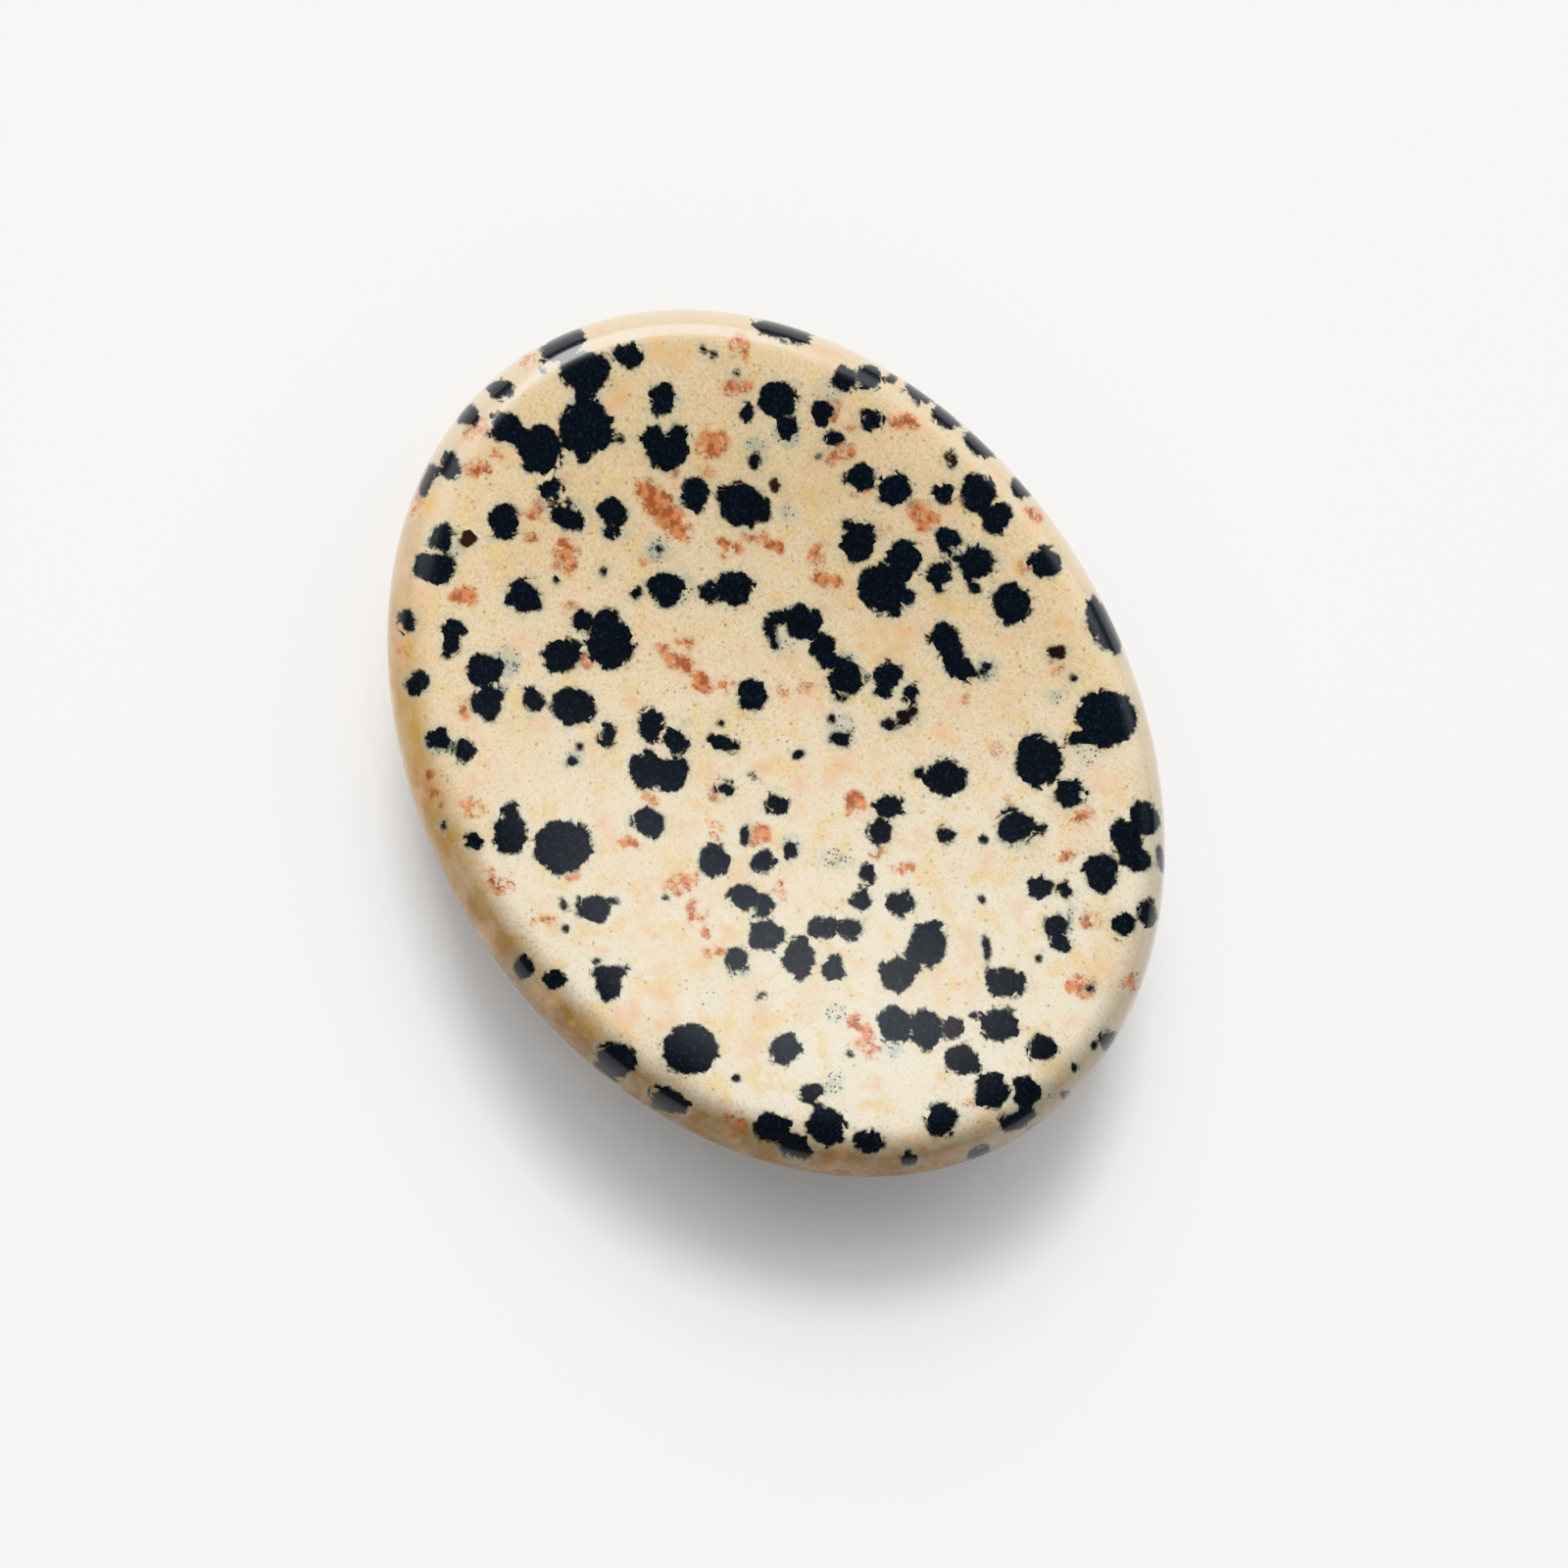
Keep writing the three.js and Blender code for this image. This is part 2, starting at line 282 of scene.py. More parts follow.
# Colours, as sRGB hex values.
PALE_CREAM = "ccc1ad"
# The warm cream is partly the stone's own tone and partly painted shade.
WARM_CREAM_AND_SHADE = "c5ad88"
SAND = "bda37a"
# TAN and GOLD colour the girth's brownest side, partly real staining and partly painted shade.
TAN = "8a5d00"
GOLD = "ab7b1a"
RIM_CREAM = "a99a84"
PALE_GRAIN = "dad3c3"
DULL_GRAIN = "98845f"
STRAW = "c8ab6f"
PEACH = "cfa281"
OCHRE = "c69c5c"
BRICK = "8f4f30"
APRICOT = "b8754c"
RING_GREY = "8f9885"
HAZE_GREEN = "8a9689"
HAZE_DOT = "36424c"
SPECK_BROWN = "5e4530"
SPOT_BROWN = "2c1c14"
INK = "05070b"
SLATE = "1c2733"
FLOOR_WHITE = "efedeb"

# The girth's colour, partly real staining and partly painted shade on its brownest side: the heading,
# over the oval, of that side, and how far below the girth it has faded most.
BROWNEST_SHADED_SIDE = (0.4, -0.92, 0.0)
STAIN_AND_SHADE_FADED_BELOW = 4.0 * MM

# How the stone is polished
JASPER_IOR = 1.54
POLISH_ROUGHNESS = 0.17

# The window-like softbox: how it stands to the stone, its size, and how bright its face is.
WINDOW_DISTANCE = 1.8
WINDOW_OFF_ZENITH = math.radians(52)
WINDOW_TOWARDS = math.radians(93)
WINDOW_WIDTH = 1.1
WINDOW_DEPTH = 1.25
WINDOW_RADIANCE = 9.2
WINDOW_COLOUR = (1.0, 0.99, 0.98)

# The pale room round the stone. All of it has the strength of ROOM_OVERHEAD. Outside a dim patch
# overhead, which leans to the photo's lower right, its walls add to that: most on the window's side,
# and little near the level. DARK_BELOW and LIT_ABOVE are angles off the upright.
DIM_OFF_ZENITH = math.radians(22)
DIM_TOWARDS = math.radians(300)
DIM_INSIDE = math.radians(26)
BRIGHT_OUTSIDE = math.radians(48)
BRIGHT_TOWARDS = math.radians(90)
DARK_BELOW = math.radians(82)
LIT_ABOVE = math.radians(58)
ROOM_OVERHEAD = 0.46
ROOM_WINDOW_SIDE = 1.75
ROOM_FAR_SIDE = 0.05
LEFT_NEAR_LEVEL = 0.1
ROOM_COLOUR = (0.94, 0.98, 1.03, 1.0)

FLOOR_HALF_SIDE = 1.5

# Added to what is divided by, so that it isn't zero.
NOT_ZERO = 1e-9


def linear(hex_colour):
    """An sRGB hex colour as the linear colour that Blender's sockets hold."""
    channels = [int(hex_colour[i:i + 2], 16) / 255 for i in (0, 2, 4)]
    return [c / 12.92 if c <= 0.04045 else ((c + 0.055) / 1.055) ** 2.4 for c in channels] + [1.0]


def per_mm(size):
    """The texture scale that makes features of this size, in millimetres."""
    return 1 / (size * MM)


def add(tree, kind, feeds=None, **settings):
    """Adds a node with its settings. Each feed goes to the input that its name or number picks,
    and is a value, a socket, or a node, whose first output is then used."""
    node = tree.nodes.new(kind)
    for setting, value in settings.items():
        setattr(node, setting, value)
    for key, feed in (feeds or {}).items():
        if isinstance(feed, bpy.types.Node):
            feed = feed.outputs[0]
        if isinstance(feed, bpy.types.NodeSocket):
            tree.links.new(feed, node.inputs[key])
        else:
            node.inputs[key].default_value = feed
    return node


def disc_steps(tree, given, level_share):
    """A square grid's points as steps out over a disc, level at first and then turning down.
    Gives the grid, its heading, how far along the level stretch a point is and its turn beyond."""
    count = add(tree, "ShaderNodeMath", {0: given["Cells Across"], 1: 1.0}, operation="ADD")
    grid = add(tree, "GeometryNodeMeshGrid", {
        "Size X": 2.0, "Size Y": 2.0, "Vertices X": count, "Vertices Y": count})
    place = add(tree, "GeometryNodeInputPosition")
    heading = add(tree, "ShaderNodeVectorMath", {0: place}, operation="NORMALIZE")
    size = add(tree, "ShaderNodeVectorMath", {0: place}, operation="ABSOLUTE")
    sides = add(tree, "ShaderNodeSeparateXYZ", {0: size}).outputs
    outward = add(tree, "ShaderNodeMath", {0: sides["X"], 1: sides["Y"]}, operation="MAXIMUM")
    level = add(tree, "ShaderNodeMapRange", {"Value": outward, "From Max": level_share})
    turn = add(tree, "ShaderNodeMapRange", {
        "Value": outward, "From Min": level_share, "To Max": math.pi / 2})
    return grid, heading, level, turn


def stone_half(tree, given, level_radius, level_share, reach, dip, slimmest):
    """One half of the stone: a grid drawn into a disc, level at first, then turning down to the girth.
    level_share is the part of the disc that the level stretch takes, and slimmest the least radius
    at which the narrowing across the width is still that of a band of even width."""
    grid, heading, level, turn = disc_steps(tree, given, level_share)
    half_length = add(tree, "ShaderNodeMath", {0: given["Length"], 1: 0.5}, operation="MULTIPLY")
    half_width = add(tree, "ShaderNodeMath", {0: given["Width"], 1: 0.5}, operation="MULTIPLY")
    difference = add(tree, "ShaderNodeMath", {0: half_length, 1: half_width}, operation="SUBTRACT")
    beyond = add(tree, "ShaderNodeMath", {0: half_length, 1: level_radius}, operation="SUBTRACT")
    sine = add(tree, "ShaderNodeMath", {0: turn}, operation="SINE")
    cosine = add(tree, "ShaderNodeMath", {0: turn}, operation="COSINE")
    turned = add(tree, "ShaderNodeMath", {0: beyond, 1: sine}, operation="MULTIPLY")
    radius = add(tree, "ShaderNodeMath", {0: level, 1: level_radius, 2: turned}, operation="MULTIPLY_ADD")
    square = add(tree, "ShaderNodeMath", {0: level, 1: 2.0}, operation="POWER")
    hollow = add(tree, "ShaderNodeMath", {0: 1.0, 1: square}, operation="SUBTRACT", use_clamp=True)
    bowl = add(tree, "ShaderNodeMath", {0: hollow, 1: given["Dish Ease"]}, operation="POWER")
    sunk = add(tree, "ShaderNodeMath", {0: dip, 1: bowl}, operation="MULTIPLY")
    over_girth = add(tree, "ShaderNodeMath", {0: reach, 1: cosine, 2: given["Girth Height"]},
                     operation="MULTIPLY_ADD")
    height = add(tree, "ShaderNodeMath", {0: over_girth, 1: sunk}, operation="SUBTRACT")
    widest = add(tree, "ShaderNodeMath", {0: radius, 1: slimmest}, operation="MAXIMUM")
    lessened = add(tree, "ShaderNodeMath", {0: widest, 1: difference}, operation="SUBTRACT")
    narrowing = add(tree, "ShaderNodeMath", {0: lessened, 1: widest}, operation="DIVIDE")
    facing = add(tree, "ShaderNodeSeparateXYZ", {0: heading}).outputs
    narrowed = add(tree, "ShaderNodeMath", {0: radius, 1: narrowing}, operation="MULTIPLY")
    long_way = add(tree, "ShaderNodeMath", {0: radius, 1: facing["X"]}, operation="MULTIPLY")
    short_way = add(tree, "ShaderNodeMath", {0: narrowed, 1: facing["Y"]}, operation="MULTIPLY")
    on_stone = add(tree, "ShaderNodeCombineXYZ", {"X": long_way, "Y": short_way, "Z": height})
    return add(tree, "GeometryNodeSetPosition", {"Geometry": grid, "Position": on_stone})


def stone_tree(material):
    """The rule of the stone's shape: a dished face and a domed back that meet at the girth of an oval."""
    tree = bpy.data.node_groups.new("oval_palm_stone", "GeometryNodeTree")
    for name, size in STONE_SIZES.items():
        kind = "NodeSocketInt" if isinstance(size, int) else "NodeSocketFloat"
        tree.interface.new_socket(name, in_out="INPUT", socket_type=kind)
    tree.interface.new_socket("Stone", in_out="OUTPUT", socket_type="NodeSocketGeometry")
    given = add(tree, "NodeGroupInput").outputs
    half_length = add(tree, "ShaderNodeMath", {0: given["Length"], 1: 0.5}, operation="MULTIPLY")
    crest_radius = add(tree, "ShaderNodeMath", {0: half_length, 1: given["Crest Inset"]},
                       operation="SUBTRACT")
    face_reach = add(tree, "ShaderNodeMath", {0: given["Height"], 1: given["Girth Height"]},
                     operation="SUBTRACT")
    face = stone_half(tree, given, crest_radius, FACE_LEVEL_SHARE, face_reach,
                      given["Dish Depth"], crest_radius)
    rest_radius = add(tree, "ShaderNodeMath", {0: given["Rest Length"], 1: 0.5}, operation="MULTIPLY")
    back_reach = add(tree, "ShaderNodeMath", {0: given["Girth Height"], 1: -1.0}, operation="MULTIPLY")
    back = stone_half(tree, given, rest_radius, BACK_LEVEL_SHARE, back_reach, 0.0, half_length)
    turned = add(tree, "GeometryNodeFlipFaces", {"Mesh": back})
    joined = add(tree, "GeometryNodeJoinGeometry", {"Geometry": face})
    tree.links.new(turned.outputs[0], joined.inputs["Geometry"])
    closed = add(tree, "GeometryNodeMergeByDistance", {
        "Geometry": joined, "Distance": SEAM_CLOSED_WITHIN})
    finished = ground_by_wheel(tree, closed, given)
    smooth = add(tree, "GeometryNodeSetShadeSmooth", {"Geometry": finished})
    real = add(tree, "GeometryNodeRealizeInstances", {"Geometry": smooth})
    coated = add(tree, "GeometryNodeSetMaterial", {"Geometry": real, "Material": material})
    add(tree, "NodeGroupOutput", {"Stone": coated})
    return tree


def ground_by_wheel(tree, stone, given):
    """Draws the surface in by a few hundredths of a millimetre here and there, as grinding does.
    The flat spot stays flat."""
    waves = add(tree, "ShaderNodeTexNoise", {"Scale": per_mm(WAVE_MM), "Detail": 1.0})
    place = add(tree, "GeometryNodeInputPosition")
    height = add(tree, "ShaderNodeSeparateXYZ", {0: place}).outputs["Z"]
    above_rest = add(tree, "ShaderNodeMath", {0: height, 1: WAVES_FULL_ABOVE},
                     operation="DIVIDE", use_clamp=True)
    inward = add(tree, "ShaderNodeMath", {0: given["Wave Depth"], 1: -1.0}, operation="MULTIPLY")
    depth = add(tree, "ShaderNodeMath", {0: inward, 1: waves.outputs[0]}, operation="MULTIPLY")
    amount = add(tree, "ShaderNodeMath", {0: depth, 1: above_rest}, operation="MULTIPLY")
    normal = add(tree, "GeometryNodeInputNormal")
    offset = add(tree, "ShaderNodeVectorMath", {0: normal, "Scale": amount}, operation="SCALE")
    return add(tree, "GeometryNodeSetPosition", {"Geometry": stone, "Offset": offset})


def make_stone(material):
    """The stone as a plain mesh, made by its rule."""
    maker = bpy.data.objects.new("stone_maker", bpy.data.meshes.new("stone_maker"))
    bpy.context.scene.collection.objects.link(maker)
    modifier = maker.modifiers.new("oval_palm_stone", "NODES")
    modifier.node_group = stone_tree(material)
    for item in modifier.node_group.interface.items_tree:
        if item.in_out == "INPUT":
            modifier[item.identifier] = STONE_SIZES[item.name]
    evaluated = maker.evaluated_get(bpy.context.evaluated_depsgraph_get())
    mesh = bpy.data.meshes.new_from_object(evaluated)
    maker.modifiers.remove(modifier)
    bpy.data.objects.remove(maker)
    mesh.name = "palm_stone"
    stone = bpy.data.objects.new("palm_stone", mesh)
    bpy.context.scene.collection.objects.link(stone)
    return stone


def camera_axes():
    """The photo's right, its up and the way to the camera, as directions in the stone's frame."""
    x, y = LONG_WAY_IN_PHOTO
    right = Vector((x, y, 0))
    up = Vector((-y, x, 0))
    aside = math.cos(LEAN_TOWARDS) * right + math.sin(LEAN_TOWARDS) * up
    back = math.sin(CAMERA_LEAN) * aside + math.cos(CAMERA_LEAN) * Vector((0, 0, 1))
    lean = Vector((0, 0, 1)).rotation_difference(back)
    return lean @ right, lean @ up, back


def camera_place():
    """Where the camera stands, so that the stone falls where it does in the photo."""
    right, up, back = camera_axes()
    aside = (PHOTO_MIDDLE[0] - STONE_IN_PHOTO[0]) / PIXELS_PER_MM * MM
    below = (PHOTO_MIDDLE[1] - STONE_IN_PHOTO[1]) / PIXELS_PER_MM * MM
    return Vector((0, 0, GIRTH_HEIGHT)) + right * aside - up * below + back * CAMERA_DISTANCE


def make_camera():
    """A long lens that frames the stone as the photo does."""
    right, up, back = camera_axes()
    data = bpy.data.cameras.new("camera")
    data.sensor_width = SENSOR_WIDTH
    seen = PHOTO_SIDE / PIXELS_PER_MM * MM
    data.lens = SENSOR_WIDTH * CAMERA_DISTANCE / seen
    data.clip_start = NEAREST_SEEN
    data.clip_end = FARTHEST_SEEN
    camera = bpy.data.objects.new("camera", data)
    turned = Matrix((right, up, back)).transposed().to_4x4()
    camera.matrix_world = Matrix.Translation(camera_place()) @ turned
    bpy.context.scene.collection.objects.link(camera)
    bpy.context.scene.camera = camera


def in_photo(points):
    """Where points of the stone fall in the photo, as an array of x and y in its pixels."""
    right, up, back = (np.array(axis) for axis in camera_axes())
    away = points - np.array(camera_place())
    focal = PIXELS_PER_MM / MM * CAMERA_DISTANCE
    depth = -(away @ back)
    x = PHOTO_MIDDLE[0] + focal * (away @ right) / depth
    y = PHOTO_MIDDLE[1] - focal * (away @ up) / depth
    return np.stack([x, y], axis=1)


def oval_distance(aside, along_down, half_along, half_across, tilt):
    """About how far points are outside an oval, negative inside it."""
    c, s = math.cos(tilt), math.sin(tilt)
    u = (aside * c + along_down * s) / half_along
    v = (along_down * c - aside * s) / half_across
    near = np.hypot(u, v)
    steep = np.hypot(u / half_along, v / half_across) + NOT_ZERO
    return near * (near - 1) / steep


class Surface:
    """The stone's points, with where each falls in the photo and how squarely it faces the camera."""

    def __init__(self, mesh):
        count = len(mesh.vertices)
        self.points = np.empty(count * 3, np.float32)
        mesh.vertices.foreach_get("co", self.points)
        self.points = self.points.reshape(-1, 3).astype(float)
        self.normals = np.empty(count * 3, np.float32)
        mesh.vertex_normals.foreach_get("vector", self.normals)
        self.normals = self.normals.reshape(-1, 3).astype(float)
        self.pixels = in_photo(self.points)
        to_camera = np.array(camera_place()) - self.points
        to_camera /= np.linalg.norm(to_camera, axis=1)[:, None]
        self.facing = np.einsum("ij,ij->i", self.normals, to_camera)
        self.seen = np.flatnonzero(self.facing > 0)
        self.hidden = np.flatnonzero(self.facing <= 0)

    def distance_to_photo_mark(self, mark):
        """How far each point is outside a mark read off the photo, in millimetres."""
        x, y, along, across, tilt = mark[:5]
        aside = self.pixels[:, 0] - x
        down = self.pixels[:, 1] - y
        half_along = max(along / 2, SMALLEST_HALF)
        half_across = max(across / 2, SMALLEST_HALF)
        outside = oval_distance(aside, down, half_along, half_across, math.radians(tilt))
        nearest = self.seen[np.argmin(np.hypot(aside[self.seen], down[self.seen]))]
        reach = MARK_REACH_SHARE * max(along, across) / PIXELS_PER_MM + MARK_REACH_MORE_MM
        from_centre = np.linalg.norm(self.points - self.points[nearest], axis=1) / MM
        return np.maximum(outside / PIXELS_PER_MM, from_centre - reach)

    def distance_to_blob(self, centre, axes, radii):
        """How far each point is outside a blob in the stone, in millimetres."""
        local = (self.points - centre) @ axes.T / MM
        near = np.linalg.norm(local / radii, axis=1)
        steep = np.linalg.norm(local / radii ** 2, axis=1) + NOT_ZERO
        return near * (near - 1) / steep


def strength_of(distance, strength, soft):
    """Full inside a mark, fading over the given width in millimetres across its edge."""
    fade = np.clip(0.5 - distance / soft, 0, 1)
    return strength * fade * fade * (3 - 2 * fade)


def chance_axes(chance):
    """Three directions at right angles, turned by chance."""
    turned = np.array([[chance.gauss(0, 1) for _ in range(3)] for _ in range(3)])
    return np.linalg.qr(turned)[0]


def clear_places(surface, chance, wanted, size_of):
    """Places on the side and back for marks, clear of each other and of what the photo shows.
    Each place that won't do lowers the number wanted a little, so that the search ends."""
    seen = surface.points[surface.seen]
    taken = []
    while len(taken) < wanted:
        place = surface.points[chance.choice(surface.hidden)]
        size = size_of(chance)
        near_seen = np.linalg.norm(seen - place, axis=1).min() < size + CLEAR_OF_SEEN
        near_other = any(
            np.linalg.norm(place - other) < size + other_size + GAP_BETWEEN_SPOTS * chance.random()
            for other, other_size in taken)
        if near_seen or near_other:
            wanted -= COST_OF_A_MISS
            continue
        taken.append((place, size))
    return taken


def black_spots_over(surface):
    """For each point, how far it is outside the nearest black spot, and that spot's least breadth,
    both in millimetres."""
    nearest = np.full(len(surface.points), FAR_MM)
    breadths = np.full(len(surface.points), USUAL_BREADTH_MM)

    def lay(distance, breadth):
        breadths[distance < nearest] = breadth
        np.minimum(nearest, distance, out=nearest)

    for mark in BLACK_TOP_LEFT + BLACK_TOP_RIGHT + BLACK_LOWER_LEFT + BLACK_LOWER_RIGHT:
        lay(surface.distance_to_photo_mark(mark), min(mark[2], mark[3]) / PIXELS_PER_MM)
    chance = random.Random(CHANCE_SEED)
    for place, size in clear_places(surface, chance, CHANCE_BLACK, chance_spot_size):
        lobes = 1 if size < LOBED_FROM_RADIUS else chance.choice(LOBE_NUMBERS)
        for _ in range(lobes):
            shift = np.array([chance.uniform(-LOBE_SHIFT, LOBE_SHIFT) for _ in range(3)])
            shift = shift * size * (lobes > 1)
            share = 1.0 if lobes == 1 else chance.uniform(*LOBE_SHARES)
            radii = np.array([size / MM * share * chance.uniform(*RADIUS_SHARES) for _ in range(3)])
            lay(surface.distance_to_blob(place + shift, chance_axes(chance), radii), 2 * radii.min())
    return nearest, breadths


def chance_spot_size(chance):
    """The radius of a chance black spot, some of which are specks."""
    if chance.random() < SPECK_SHARE:
        return MM * SPECK_RADIUS_MM
    return MM * chance.triangular(*LEAST_MOST_USUAL_RADIUS_MM)


def mark_strength(surface, marks, soft, chance_marks, long_radius, seed):
    """How strongly soft marks of one kind colour each point, from 0 to 1."""
    strongest = np.zeros(len(surface.points))
    for mark in marks:
        distance = surface.distance_to_photo_mark(mark)
        strongest = np.maximum(strongest, strength_of(distance, mark[5], soft))
    chance = random.Random(seed)
    for place, size in clear_places(
            surface, chance, chance_marks, lambda c: MM * c.uniform(*SOFT_LENGTHS) * long_radius):
        long = size / MM
        radii = np.array([long] + [long * chance.uniform(*SOFT_BREADTHS) for _ in range(2)])
        distance = surface.distance_to_blob(place, chance_axes(chance), radii)
        strongest = np.maximum(strongest, strength_of(distance, chance.uniform(*SOFT_STRENGTHS), soft))
    return strongest


def mark_stone(stone):
    """Writes the stone's markings as attributes, which its material reads."""
    surface = Surface(stone.data)
    distances, breadths = black_spots_over(surface)
    markings = {"black_distance_mm": distances, "black_breadth_mm": breadths}
    for name, (marks, soft, chance_marks, long_radius, step) in SOFT_MARKS.items():
        markings[name] = mark_strength(
            surface, marks, soft, chance_marks, long_radius, CHANCE_SEED + step)
    for name, values in markings.items():
        attribute = stone.data.attributes.new(name, "FLOAT", "POINT")
        attribute.data.foreach_set("value", values.astype(np.float32))


def polished_jasper():
    """Dalmatian jasper, a fine sugary rock of feldspar and quartz, ground and polished to a wet gloss.
    It gives the eye a cream ground, darker at one end partly by painted shade, golden brown round
    the girth, partly painted shade on one side, with crisp ragged black spots, soft rust grains and
    grey-green haze."""
    material = bpy.data.materials.new("polished_dalmatian_jasper")
    material.use_nodes = True
    tree = material.node_tree
    tree.nodes.clear()
    place = add(tree, "ShaderNodeTexCoord").outputs["Object"]
    edge = ragged_edge(tree, place)
    ground = jasper_ground(tree, place)
    sugared = jasper_grains(tree, place, ground)
    girthed = jasper_girth_stain_and_shade(tree, place, sugared)
    tinted = jasper_tints(tree, place, girthed)
    hazed = jasper_haze(tree, place, tinted, edge)
    colour = black_spots(tree, place, hazed, edge)
    ripple = add(tree, "ShaderNodeTexNoise", {"Vector": place, "Scale": per_mm(1.6), "Detail": 2.0})
    bump = add(tree, "ShaderNodeBump", {"Height": ripple, "Strength": 0.25, "Distance": 0.02 * MM})
    skin = add(tree, "ShaderNodeBsdfPrincipled", {
        "Base Color": colour, "Normal": bump, "IOR": JASPER_IOR, "Roughness": POLISH_ROUGHNESS})
    add(tree, "ShaderNodeOutputMaterial", {"Surface": skin})
    return material


def laid_over(tree, ground, colour, texture, start, full, most=1.0):
    """The ground with a colour laid over it: none of it where the texture is at start, easing in to
    the share that most gives where the texture is at full."""
    share = add(tree, "ShaderNodeMapRange", {
        "Value": texture, "From Min": start, "From Max": full, "To Max": most},
        interpolation_type="SMOOTHSTEP")
    return add(tree, "ShaderNodeMix", {0: share, 6: ground, 7: colour}, data_type="RGBA").outputs[2]


def jasper_ground(tree, place):
    """The ground without its grains: pale cream at one end and a warmer, darker cream at the other,
    partly the stone's own tone and partly painted shade, with broad sandy clouds."""
    warp = add(tree, "ShaderNodeTexNoise", {"Vector": place, "Scale": per_mm(9.0), "Detail": 2.0})
    x, y = LONG_WAY_IN_PHOTO
    along = add(tree, "ShaderNodeVectorMath", {0: place, 1: (-y, x, 0.0)}, operation="DOT_PRODUCT")
    drifted = add(tree, "ShaderNodeMath", {0: warp, 1: 16 * MM, 2: along.outputs["Value"]},
                  operation="MULTIPLY_ADD")
    # The warmer, darker end is partly the stone's own tone and partly painted shade.
    warmed_and_shaded = laid_over(tree, linear(PALE_CREAM), linear(WARM_CREAM_AND_SHADE), drifted, -10 * MM, 24 * MM)
    cloud = add(tree, "ShaderNodeTexNoise", {"Vector": place, "Scale": per_mm(3.2), "Detail": 4.0})
    return laid_over(tree, warmed_and_shaded, linear(SAND), cloud, 0.45, 0.7, 0.5)


def jasper_grains(tree, place, ground):
    """Straw-yellow patches, sugary grains a sixth of a millimetre across and small brown specks."""
    patch = add(tree, "ShaderNodeTexNoise", {"Vector": place, "Scale": per_mm(1.1), "Detail": 3.0})
    sugar = add(tree, "ShaderNodeTexNoise", {
        "Vector": place, "Scale": per_mm(GRAIN_MM), "Detail": 3.0, "Roughness": 0.65})
    strawed = laid_over(tree, ground, linear(STRAW), patch, 0.5, 0.68, 0.58)
    sugared = laid_over(tree, strawed, linear(PALE_GRAIN), sugar, 0.48, 0.7, 0.3)
    dulled = laid_over(tree, sugared, linear(DULL_GRAIN), sugar, 0.48, 0.3, 0.55)
    cells = add(tree, "ShaderNodeTexVoronoi", {"Vector": place, "Scale": per_mm(0.32)}).outputs
    chosen = add(tree, "ShaderNodeSeparateColor", {"Color": cells["Color"]}).outputs
    needed = add(tree, "ShaderNodeMapRange", {
        "Value": patch, "From Min": 0.4, "From Max": 0.62, "To Min": 1.0, "To Max": 0.72})
    rare = add(tree, "ShaderNodeMath", {0: chosen["Red"], 1: needed}, operation="GREATER_THAN")
    small = add(tree, "ShaderNodeMapRange", {
        "Value": cells["Distance"], "From Min": 0.36, "From Max": 0.12, "To Max": 0.5})
    speck = add(tree, "ShaderNodeMath", {0: rare, 1: small}, operation="MULTIPLY")
    return add(tree, "ShaderNodeMix", {0: speck, 6: dulled, 7: linear(SPECK_BROWN)},
               data_type="RGBA").outputs[2]


def jasper_girth_stain_and_shade(tree, place, ground):
    """A patchy colour round the girth: golden to ochre brown on one side, partly real staining and
    partly painted shade, a greyer cream opposite, and fading towards the back."""
    to_oval = (2 / STONE_SIZES["Length"], 2 / STONE_SIZES["Width"], 0.0)
    in_oval = add(tree, "ShaderNodeVectorMath", {0: place, 1: to_oval}, operation="MULTIPLY")
    outward = add(tree, "ShaderNodeVectorMath", {0: in_oval}, operation="LENGTH").outputs["Value"]
    at_girth = add(tree, "ShaderNodeMapRange", {
        "Value": outward, "From Min": 0.88, "From Max": 0.99}, interpolation_type="SMOOTHSTEP")
    height = add(tree, "ShaderNodeSeparateXYZ", {0: place}).outputs["Z"]
    upper = add(tree, "ShaderNodeMapRange", {
        "Value": height, "From Min": GIRTH_HEIGHT - STAIN_AND_SHADE_FADED_BELOW, "From Max": GIRTH_HEIGHT,
        "To Min": 0.25}, interpolation_type="SMOOTHSTEP")
    stain_and_shade_patches = add(tree, "ShaderNodeTexNoise", {
        "Vector": place, "Scale": per_mm(2.2), "Detail": 6.0, "Roughness": 0.75})
    broken = add(tree, "ShaderNodeMapRange", {
        "Value": stain_and_shade_patches, "From Min": 0.35, "From Max": 0.6, "To Min": 0.7}, interpolation_type="SMOOTHSTEP")
    patchy = add(tree, "ShaderNodeMath", {0: upper, 1: broken}, operation="MULTIPLY")
    share = add(tree, "ShaderNodeMath", {0: at_girth, 1: patchy}, operation="MULTIPLY")
    end = add(tree, "ShaderNodeSeparateXYZ", {0: in_oval}).outputs["X"]
    # The brown side is partly painted shade.
    brown = laid_over(tree, linear(GOLD), linear(TAN), end, -0.5, 0.3)
    round_stone = add(tree, "ShaderNodeVectorMath", {0: in_oval, 1: BROWNEST_SHADED_SIDE},
                      operation="DOT_PRODUCT").outputs["Value"]
    colour = laid_over(tree, linear(RIM_CREAM), brown, round_stone, -0.1, 0.8)
    return add(tree, "ShaderNodeMix", {0: share, 6: ground, 7: colour}, data_type="RGBA").outputs[2]


